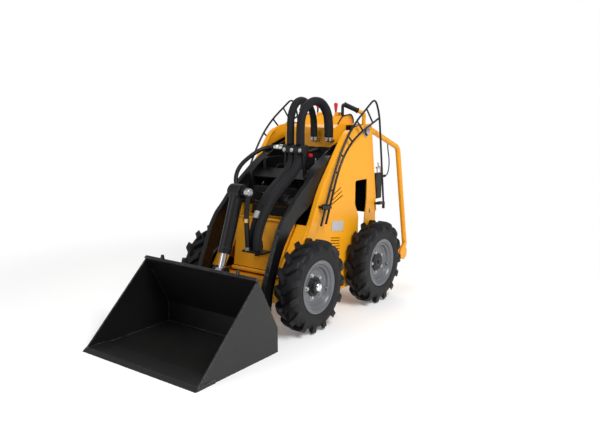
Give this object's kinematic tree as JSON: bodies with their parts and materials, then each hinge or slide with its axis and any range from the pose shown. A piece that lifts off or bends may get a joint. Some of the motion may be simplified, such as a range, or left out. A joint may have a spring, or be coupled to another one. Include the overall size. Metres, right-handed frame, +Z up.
{
  "type": "mini wheel loader",
  "caption": "Compact rigid-frame wheel loader with side lift arms, a tipping bucket on a quick hitch, hose arches, rod guards and a bent rear frame.",
  "frame": {"origin": "on the ground under the middle of the machine's overall box", "axes": "+X forward to the bucket, +Y to the machine's left, +Z up"},
  "size_m": [2.1783, 0.81, 1.254],
  "materials": {
    "yellow_paint": "semi-gloss enamel",
    "black_paint": "semi-gloss enamel",
    "silver_paint": "satin enamel",
    "tyre": "moulded rubber",
    "hose_sleeve": "woven sleeve",
    "rubber": "matt",
    "chrome": "hard chrome",
    "zinc": "zinc plated",
    "engine_black": "satin",
    "grip": "ribbed",
    "knob": "gloss",
    "steel_dark": "satin",
    "cable": "smooth"
  },
  "bodies": {
    "chassis": {"air_filter": "steel_dark", "arm_pivot_pins": "zinc", "bulkhead": "yellow_paint", "console": "yellow_paint", "control_levers": "knob", "engine": "engine_black", "front_panel": "steel_dark", "handle_grips": "grip", "handlebar": "yellow_paint", "holder_box": "steel_dark", "hood": "yellow_paint", "hose_arch_left": "hose_sleeve", "hose_arch_right": "hose_sleeve", "hose_fittings": "zinc", "lift_shaft": "zinc", "lower_frame": "yellow_paint", "muffler": "steel_dark", "nose_tank": "yellow_paint", "rear_frame": "yellow_paint", "rear_panel": "yellow_paint", "side_guards": "black_paint", "side_panels": "yellow_paint", "stop_cable": "cable", "top_deck": "yellow_paint", "tower_frame": "yellow_paint", "wheel_motors": "steel_dark"},
    "arm": {"lift_arms": "black_paint", "arm_cross": "black_paint", "hose_clamp": "black_paint", "couplers": "zinc", "hose_bracket": "black_paint", "sleeve_left": "hose_sleeve", "sleeve_right": "hose_sleeve", "aux_loop": "rubber"},
    "hitch": {"quick_hitch": "black_paint", "bucket": "black_paint"},
    "lift_barrel_left": {"lift_barrel_left": "black_paint"},
    "lift_rod_left": {"lift_rod_left": "chrome"},
    "lift_barrel_right": {"lift_barrel_right": "black_paint"},
    "lift_rod_right": {"lift_rod_right": "chrome"},
    "tilt_barrel": {"tilt_barrel": "black_paint"},
    "tilt_rod": {"tilt_rod": "chrome"},
    "wheel_front_left": {"tyre_front_left": "tyre", "rim_front_left": "silver_paint"},
    "wheel_front_right": {"tyre_front_right": "tyre", "rim_front_right": "silver_paint"},
    "wheel_rear_left": {"tyre_rear_left": "tyre", "rim_rear_left": "silver_paint"},
    "wheel_rear_right": {"tyre_rear_right": "tyre", "rim_rear_right": "silver_paint"}
  },
  "joints": [
    {"name": "wheel_front_left_turn", "type": "hinge", "parent": "chassis", "child": "wheel_front_left", "pos_m": [0.16519, 0.3425, 0.2525], "axis": [0, 1, 0], "continuous": true},
    {"name": "wheel_front_right_turn", "type": "hinge", "parent": "chassis", "child": "wheel_front_right", "pos_m": [0.16519, -0.3425, 0.2525], "axis": [0, 1, 0], "continuous": true},
    {"name": "wheel_rear_left_turn", "type": "hinge", "parent": "chassis", "child": "wheel_rear_left", "pos_m": [-0.51081, 0.3425, 0.2525], "axis": [0, 1, 0], "continuous": true},
    {"name": "wheel_rear_right_turn", "type": "hinge", "parent": "chassis", "child": "wheel_rear_right", "pos_m": [-0.51081, -0.3425, 0.2525], "axis": [0, 1, 0], "continuous": true},
    {"name": "lift", "type": "hinge", "parent": "chassis", "child": "arm", "pos_m": [-0.48181, 0, 1.05], "axis": [0, -1, 0], "range_deg": [0, 78], "deforming": ["hose_arch_left", "hose_arch_right"]},
    {"name": "tilt", "type": "hinge", "parent": "arm", "child": "hitch", "pos_m": [0.42519, 0, 0.16], "axis": [0, 1, 0], "range_deg": [-25, 72]},
    {"name": "lift_barrel_left_turn", "type": "hinge", "parent": "chassis", "child": "lift_barrel_left", "pos_m": [-0.38481, 0.22, 0.34], "axis": [0, -1, 0], "range_deg": [0, 7.68]},
    {"name": "lift_rod_left_slide", "type": "slide", "parent": "lift_barrel_left", "child": "lift_rod_left", "axis": [0.2795, 0, 0.9602], "range_m": [0, 0.365]},
    {"name": "lift_barrel_right_turn", "type": "hinge", "parent": "chassis", "child": "lift_barrel_right", "pos_m": [-0.38481, -0.22, 0.34], "axis": [0, -1, 0], "range_deg": [0, 7.68]},
    {"name": "lift_rod_right_slide", "type": "slide", "parent": "lift_barrel_right", "child": "lift_rod_right", "axis": [0.2795, 0, 0.9602], "range_m": [0, 0.365]},
    {"name": "tilt_barrel_turn", "type": "hinge", "parent": "arm", "child": "tilt_barrel", "pos_m": [0.35519, 0, 0.755], "axis": [0, -1, 0], "range_deg": [-2.72, 7.83]},
    {"name": "tilt_rod_slide", "type": "slide", "parent": "tilt_barrel", "child": "tilt_rod", "axis": [0.3371, 0, -0.9415], "range_m": [-0.06693, 0.19277]}
  ],
  "couplings": [
    {"joint": "lift_barrel_left_turn", "follows": "lift", "ratio": 0.0984},
    {"joint": "lift_rod_left_slide", "follows": "lift", "m_per_rad": 0.26811},
    {"joint": "lift_barrel_right_turn", "follows": "lift", "ratio": 0.0984},
    {"joint": "lift_rod_right_slide", "follows": "lift", "m_per_rad": 0.26811},
    {"joint": "tilt_barrel_turn", "follows": "tilt", "ratio": 0.1088},
    {"joint": "tilt_rod_slide", "follows": "tilt", "m_per_rad": 0.1534}
  ]
}
